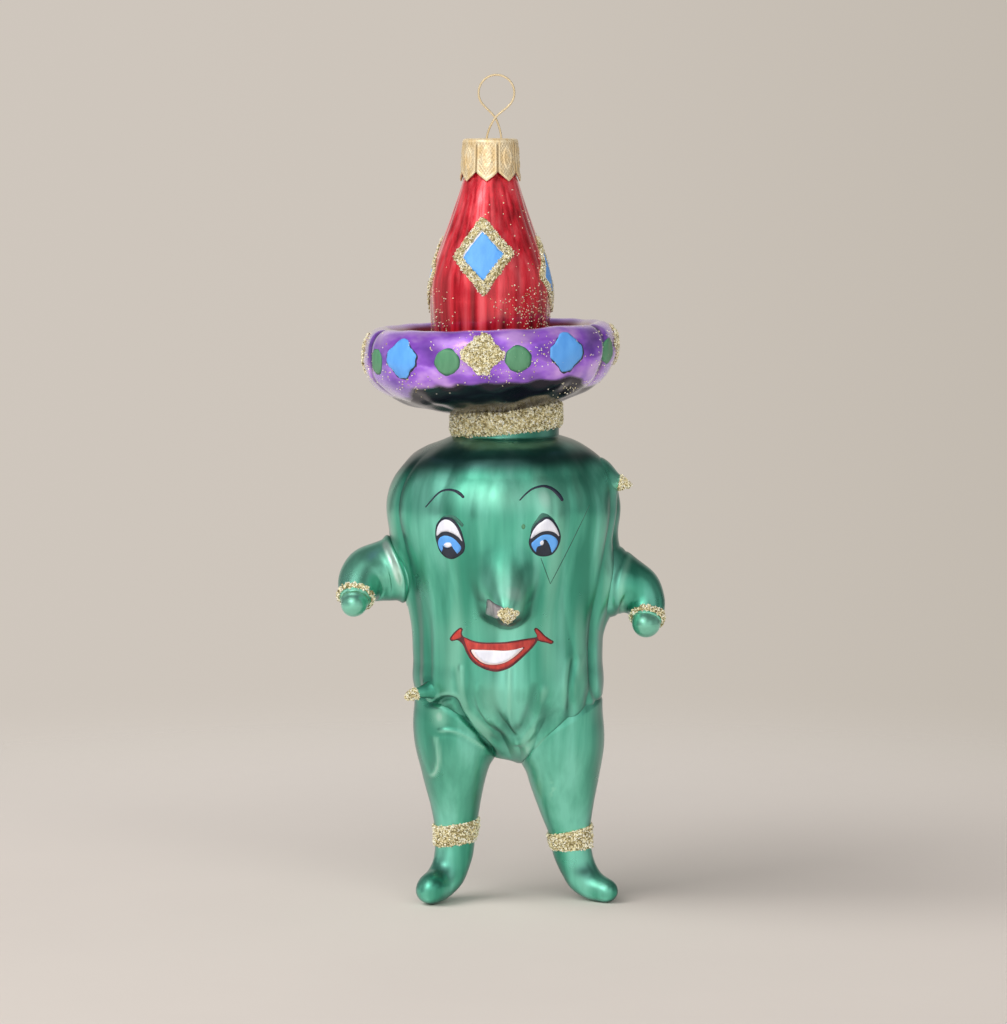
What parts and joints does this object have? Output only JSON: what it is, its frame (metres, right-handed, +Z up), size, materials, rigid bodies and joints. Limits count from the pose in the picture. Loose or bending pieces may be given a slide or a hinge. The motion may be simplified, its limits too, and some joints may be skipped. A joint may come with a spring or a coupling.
{
  "type": "cactus ornament",
  "caption": "Hanging blown-glass cactus figure with arms, legs, thorns, a painted face and a tall upturned hat, under a petalled metal cap with a sprung wire eye.",
  "frame": {"origin": "middle of the bounding box at floor height, where the figure stands on its soles", "axes": "+Z up from the soles to the hanger eye, the face looks along -Y, +X to the right of someone who faces the figure"},
  "size_m": [0.0714, 0.0566, 0.1785],
  "materials": {
    "green_glass": "silvered blown glass under a satin pearl-green lacquer, with soft upright ribs",
    "purple_glass": "silvered blown glass under a clear gloss purple lacquer with scattered glitter",
    "red_glass": "silvered fluted glass under a clear gloss red lacquer with scattered glitter",
    "gold_glitter": "coarse pale-gold metallised glitter glued on the glass",
    "blue_enamel": "satin sky-blue enamel paint",
    "leaf_enamel": "satin leaf-green enamel paint",
    "white_enamel": "satin white enamel paint",
    "black_enamel": "thin blue-black enamel brush line",
    "red_enamel": "satin red enamel paint",
    "cap_metal": "thin pressed sheet, pale gold plated, embossed petals",
    "wire": "drawn spring wire, pale brass plated"
  },
  "bodies": {
    "ornament": {"body": "green_glass", "hat_brim": "purple_glass", "hat_crown": "red_glass", "left_arm": "green_glass", "right_arm": "green_glass", "left_leg": "green_glass", "right_leg": "green_glass", "upper_thorn": "green_glass", "lower_thorn": "green_glass", "neck_glitter": "gold_glitter", "left_wrist_glitter": "gold_glitter", "right_wrist_glitter": "gold_glitter", "left_ankle_glitter": "gold_glitter", "right_ankle_glitter": "gold_glitter", "upper_thorn_glitter": "gold_glitter", "lower_thorn_glitter": "gold_glitter", "nose_glitter": "gold_glitter", "crown_frame_1": "gold_glitter", "crown_frame_2": "gold_glitter", "crown_frame_3": "gold_glitter", "crown_frame_4": "gold_glitter", "crown_lozenge_1": "blue_enamel", "crown_lozenge_2": "blue_enamel", "crown_lozenge_3": "blue_enamel", "crown_lozenge_4": "blue_enamel", "brim_diamond_01": "gold_glitter", "brim_dot_02": "leaf_enamel", "brim_lozenge_03": "blue_enamel", "brim_dot_04": "leaf_enamel", "brim_diamond_05": "gold_glitter", "brim_dot_06": "leaf_enamel", "brim_lozenge_07": "blue_enamel", "brim_dot_08": "leaf_enamel", "brim_diamond_09": "gold_glitter", "brim_dot_10": "leaf_enamel", "brim_lozenge_11": "blue_enamel", "brim_dot_12": "leaf_enamel", "brim_diamond_13": "gold_glitter", "brim_dot_14": "leaf_enamel", "brim_lozenge_15": "blue_enamel", "brim_dot_16": "leaf_enamel", "left_eye_outline": "black_enamel", "left_eye_white": "white_enamel", "left_iris": "blue_enamel", "left_pupil": "black_enamel", "left_brow": "black_enamel", "right_eye_outline": "black_enamel", "right_eye_white": "white_enamel", "right_iris": "blue_enamel", "right_pupil": "black_enamel", "right_brow": "black_enamel", "lips": "red_enamel", "teeth": "white_enamel"},
    "cap": {"cap": "cap_metal"},
    "hanger": {"hanger_wire": "wire"}
  },
  "joints": [
    {"name": "cap_pull", "type": "slide", "parent": "ornament", "child": "cap", "axis": [0, 0, 1], "range_m": [0, 0.026]},
    {"name": "hanger_lift", "type": "slide", "parent": "cap", "child": "hanger", "axis": [0, 0, 1], "range_m": [0, 0.003]}
  ]
}
